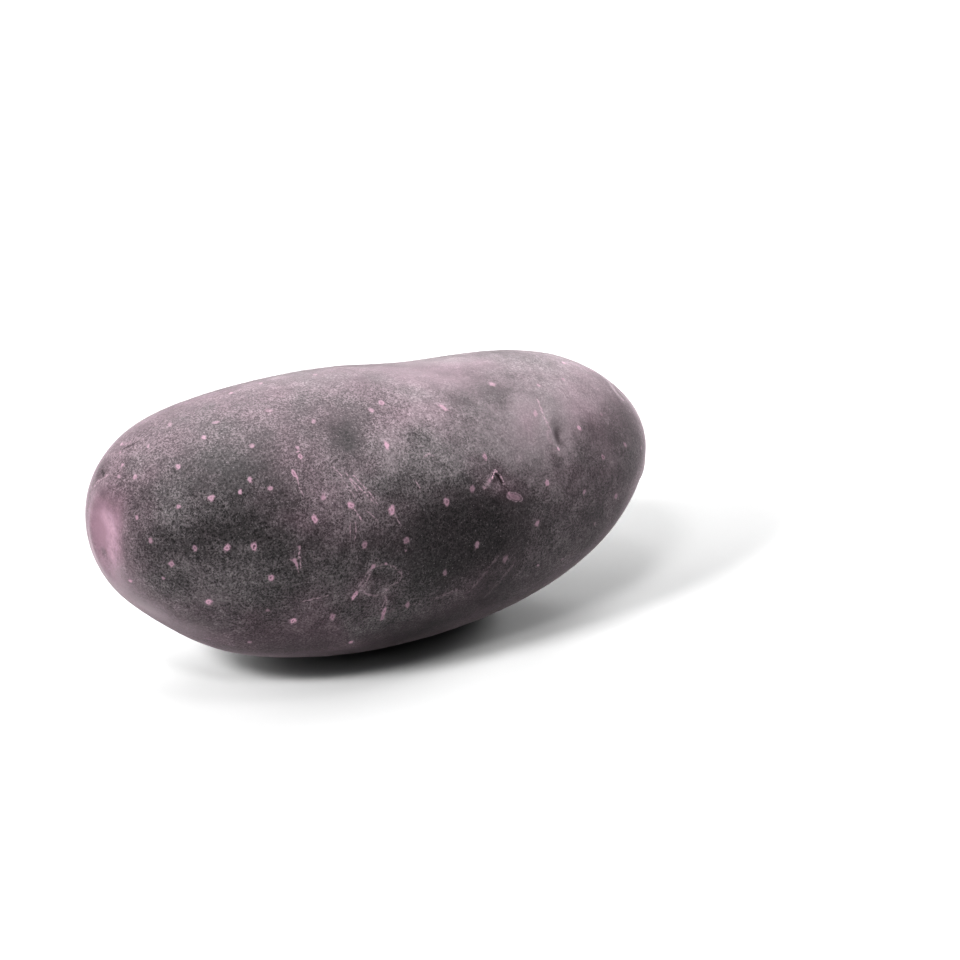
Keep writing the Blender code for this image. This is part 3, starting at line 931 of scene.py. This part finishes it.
# dust, carrying the painted light and shade of the tone patches; below 0 they darken the skin
def dustAndPaintedLightSkin(t, patches):
    drift = t.plus(t.noise("drift"), t.times(t.aboutZero("slowDrift"), amounts["slowDrift"]))
    dustAndPaintedLight = t.attribute("dustAndPaintedLight")
    dustAndPaintedLightLevel = t.plus(t.times(drift, amounts["drift"]), t.times(patches, amounts["patches"]))
    dustAndPaintedLightLevel = t.minus(t.plus(dustAndPaintedLightLevel, dustAndPaintedLight), amounts["bareness"])
    worms = t.times(t.worms("worms"), amounts["worms"])
    specks = t.times(t.flecks("specks"), amounts["specks"])
    grain = t.times(t.plus(worms, specks), t.flecks("clumps"))
    grain = t.plus(grain, t.times(t.minus(amounts["evenGrain"], grain), t.attribute("soft")))
    dustAndPaintedLightMask = t.times(grain, t.ramp(dustAndPaintedLightLevel, *ramps["dustAndSheen"]), clamp=True)
    curls = t.times(t.worms("curls"), t.flecks("curlClumps"))
    curls = t.times(curls, t.times(t.attribute("scurf"), amounts["scurf"]), clamp=True)
    # dust haze, with the painted rim sheen added to it
    hazeAndPaintedSheen = t.plus(t.ramp(dustAndPaintedLightLevel, *ramps["hazeAndPaintedSheen"]), t.attribute("paintedRimSheen"), clamp=True)
    sparks = t.times(t.flecks("sparks"), amounts["sparks"])
    mauve = t.plus(t.times(t.noise("mauve"), amounts["mauveNoise"]), amounts["mauveShift"])
    mauve = t.ramp(t.plus(mauve, t.attribute("mauve")), *ramps["mauve"])
    base = t.mix(t.flecks("mottle"), colours["dark"], colours["slate"])
    base = t.mix(t.times(mauve, amounts["mauve"]), base, colours["mauve"])
    # painted shade: where the tone is below 0 the skin is darkened, bare skin and shade together
    base = t.scaled(base, t.ramp(dustAndPaintedLight, *ramps["bareAndPaintedShade"]))
    # the dust colour, which also paints the rim sheen
    dustAndSheen = t.mix(mauve, colours["dustAndSheen"], colours["dustAndSheenPink"])
    for mask in (hazeAndPaintedSheen, dustAndPaintedLightMask, curls, sparks):
        base = t.mix(mask, base, dustAndSheen)
    relief = t.plus(t.times(grain, amounts["grainRelief"]), t.times(curls, amounts["curlRelief"]))
    return base, relief, dustAndPaintedLightLevel


# the scar where the stem was, with a pale ridge round it, partly a painted highlight on its lit side
def scarredSkin(t, base, patches):
    scarred = t.times(t.minus(patches, skinLook["noiseMiddle"]), amounts["scarPatches"])
    scarred = t.ramp(t.plus(t.attribute("scarTone"), scarred), *ramps["scar"])
    base = t.mix(scarred, base, colours["scar"])
    flecked = t.times(t.ramp(patches, *ramps["ridgePatches"]), t.flecks("ridgeFlecks"))
    return t.mix(t.times(t.attribute("scarRidge"), flecked, clamp=True), base, colours["scarPale"])


# eyes: pits, and on the hidden side creases, darkened as painted shade, and pale brows
def eyedSkin(t, base):
    unseen = t.attribute("hiddenSide")
    pit = t.times(t.ramp(t.attribute("eyePitShade"), *ramps["eyePitShade"]), amounts["eyePitShade"])
    base = t.mix(pit, base, colours["pit"])
    brow = t.times(t.ramp(t.attribute("eyeBrow"), *ramps["eyeBrow"]), t.flecks("browGrain"))
    brow = t.times(brow, t.plus(t.times(unseen, amounts["hiddenBrow"]), amounts["brow"]))
    base = t.mix(brow, base, colours["line"])
    crease = t.times(t.times(t.attribute("eyeCreaseShade"), unseen), t.flecks("creaseGrain"))
    return t.mix(crease, base, colours["pit"])


# fine lines and cracks; the dark ones are darkened as painted shade in their grooves
def linedSkin(t, base, relief):
    wander = t.times(t.aboutZero("wander"), amounts["wander"])
    broken = t.flecks("breaks")
    for i in range(len(lineSets)):
        offLine, paleness, _ = t.add("SeparateXYZ", {0: t.attribute(f"line{i}", "Vector")}).outputs
        near = t.ramp(t.math("ABSOLUTE", t.plus(offLine, wander)), *ramps["line"])
        pale = t.times(t.times(near, broken), t.math("MAXIMUM", paleness, 0.0))
        deep = t.times(near, t.times(t.math("MINIMUM", paleness, 0.0), -1.0))
        base = t.mix(pale, base, colours["line"])
        base = t.mix(deep, base, colours["pit"])
        base = t.scaled(base, t.math("MAXIMUM", pale, 1.0))
        relief = t.plus(relief, t.minus(pale, deep))
    return base, relief


# pores: a pink ring round a darker middle
def poredSkin(t, base, relief):
    across, upward, middleDark = t.add("SeparateXYZ", {0: t.attribute("pore", "Vector")}).outputs
    strength = t.attribute("poreStrength")
    reach = t.math("SQRT", t.plus(t.math("POWER", across, 2.0), t.math("POWER", upward, 2.0)))
    reach = t.plus(reach, t.times(t.aboutZero("wobble"), amounts["wobble"]))
    body = t.times(t.ramp(reach, *ramps["pore"]), strength)
    inward = t.minus(reach, t.times(middleDark, amounts["poreMiddleWidth"]))
    core = t.times(t.ramp(inward, *ramps["poreMiddle"]), middleDark)
    base = t.mix(t.times(body, amounts["pore"]), base, colours["pore"])
    base = t.scaled(base, t.math("MAXIMUM", body, 1.0))
    base = t.mix(t.times(t.times(core, strength), amounts["poreMiddle"]), base, colours["poreMiddle"])
    rise = t.times(t.minus(body, t.times(core, amounts["poreMiddleRelief"])), amounts["poreRelief"])
    return base, t.plus(relief, rise)


def skinMaterial():
    material = bpy.data.materials.new("potatoSkin")
    material.use_nodes = True
    t = SkinTree(material.node_tree)
    patches = t.noise("patches")
    base, relief, dustAndPaintedLightLevel = dustAndPaintedLightSkin(t, patches)
    base = eyedSkin(t, scarredSkin(t, base, patches))
    base, relief = linedSkin(t, base, relief)
    base, relief = poredSkin(t, base, relief)
    bump = t.add("Bump", {
        "Strength": skinLook["bumpStrength"],
        "Distance": skinLook["bumpHeight"],
        "Height": relief,
    })
    t.fill(material.node_tree.nodes["Principled BSDF"], {
        "Base Color": base,
        "Roughness": t.ramp(dustAndPaintedLightLevel, *ramps["roughness"]),
        "Normal": bump.outputs[0],
        "Specular IOR Level": skinLook["specular"],
        "Sheen Weight": skinLook["sheen"],
        "Sheen Roughness": skinLook["sheenRoughness"],
        "Sheen Tint": colours["sheen"],
    })
    return material


skin.data.materials.append(skinMaterial())
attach(skin, "root")
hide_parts("potato")
print("skin finished")

light = {
    "worldLow": 0.15,
    "worldHigh": 1.1,
    "worldFrom": (0.10, 0.55, 0.80),
    "worldEdge": (-0.1, 0.8),  # how squarely a way points there, where the light begins and is full
    "backdrop": 1.2,
    "aim": (0, 0, 0.02),
    "top": {"at": (-0.05, 0.15, 0.70), "size": (1.4, 1.2), "power": 24.0},  # lights the potato alone
    "floorLights": {  # these light the floor alone
        "frontLeft": {"at": (-0.62, -0.10, 0.48), "size": (0.15, 0.12), "power": 19.4},
        "front": {"at": (-0.42, -0.33, 0.62), "size": (0.15, 0.12), "power": 5.9},
        "left": {"at": (-0.75, 0.05, 0.32), "size": (0.5, 0.3), "power": 8.5},
        "backLeft": {"at": (-0.50, 0.50, 0.40), "size": (0.6, 0.3), "power": 7.3},
        "over": {"at": (-0.20, -0.20, 0.95), "size": (0.2, 0.2), "power": 3.7},
        "right": {"at": (0.75, 0.15, 0.20), "size": (0.3, 0.15), "power": 25.5},
        "backRight": {"at": (0.55, 0.40, 0.30), "size": (0.3, 0.2), "power": 6.4},
        "back": {"at": (0.35, 0.60, 0.35), "size": (0.3, 0.2), "power": 6.2},
        "frontRight": {"at": (0.55, -0.45, 0.35), "size": (0.3, 0.2), "power": 0.7},
    },
    "floorSize": 4,
    "floorBright": 0.209,
    "floorGloss": 0.11,
    "floorBounce": 0.215,
    "floorFades": (0.28, 0.50),  # from here to here, away from the potato, it turns plain white
    "gamma": 0.78,
}


def areaLight(name, at, size, power):
    data = bpy.data.lights.new(name, "AREA")
    data.shape = "RECTANGLE"
    data.size, data.size_y = size
    data.energy = power
    lamp = bpy.data.objects.new(name, data)
    bpy.context.collection.objects.link(lamp)
    lamp.location = at
    lamp.rotation_euler = (Vector(at) - Vector(light["aim"])).to_track_quat("Z", "Y").to_euler()
    return lamp


def floorMaterial():
    material = bpy.data.materials.new("paleFloor")
    material.use_nodes = True
    nodes = material.node_tree.nodes
    nodes.remove(nodes["Principled BSDF"])
    t = Tree(material.node_tree)
    path = t.add("LightPath")
    shade = t.add("MixShader", {0: path.outputs["Is Diffuse Ray"]})
    place = t.add("TexCoord").outputs["Object"]
    away = t.add("VectorMath", {0: place}, operation="LENGTH").outputs["Value"]
    glow = t.add("Emission", {"Strength": t.ramp(away, *light["floorFades"])})
    seen = t.add("AddShader", {1: glow.outputs[0]})
    both = t.add("MixShader", {0: path.outputs["Is Camera Ray"], 1: shade.outputs[0], 2: seen.outputs[0]})
    coats = (("floorGloss", shade, 1), ("floorBounce", shade, 2), ("floorBright", seen, 0))
    for amount, shader, socket in coats:
        paint = t.add("BsdfDiffuse", {"Color": (light[amount],) * 3 + (1,)})
        t.fill(shader, {socket: paint.outputs[0]})
    t.fill(nodes["Material Output"], {"Surface": both.outputs[0]})
    return material


def buildWorld():
    world = bpy.data.worlds.new("studio")
    bpy.context.scene.world = world
    world.use_nodes = True
    t = Tree(world.node_tree)
    way = t.add("TexCoord").outputs["Generated"]
    towards = Vector(light["worldFrom"]).normalized()
    facing = t.add("VectorMath", {0: way, 1: towards}, operation="DOT_PRODUCT").outputs["Value"]
    strength = t.ramp(facing, *light["worldEdge"], light["worldLow"], light["worldHigh"])
    plain = t.times(t.add("LightPath").outputs["Is Camera Ray"], light["backdrop"])
    background = world.node_tree.nodes["Background"]
    t.fill(background, {"Strength": t.math("MAXIMUM", strength, plain), "Color": (1, 1, 1, 1)})


def lightOnly(lamp, thing):
    group = bpy.data.collections.new(lamp.name + "Lights")
    group.objects.link(thing)
    lamp.light_linking.receiver_collection = group


def buildStage():
    bm = bmesh.new()
    bmesh.ops.create_grid(bm, x_segments=1, y_segments=1, size=light["floorSize"])
    mesh = bpy.data.meshes.new("floor")
    bm.to_mesh(mesh)
    bm.free()
    floor = bpy.data.objects.new("floor", mesh)
    bpy.context.collection.objects.link(floor)
    floor.data.materials.append(floorMaterial())
    buildWorld()
    lightOnly(areaLight("top", **light["top"]), skin)
    for name, settings in light["floorLights"].items():
        lightOnly(areaLight(name, **settings), floor)
    settings = bpy.context.scene.view_settings
    settings.view_transform = "Standard"
    settings.gamma = light["gamma"]


buildStage()
print("stage lit")
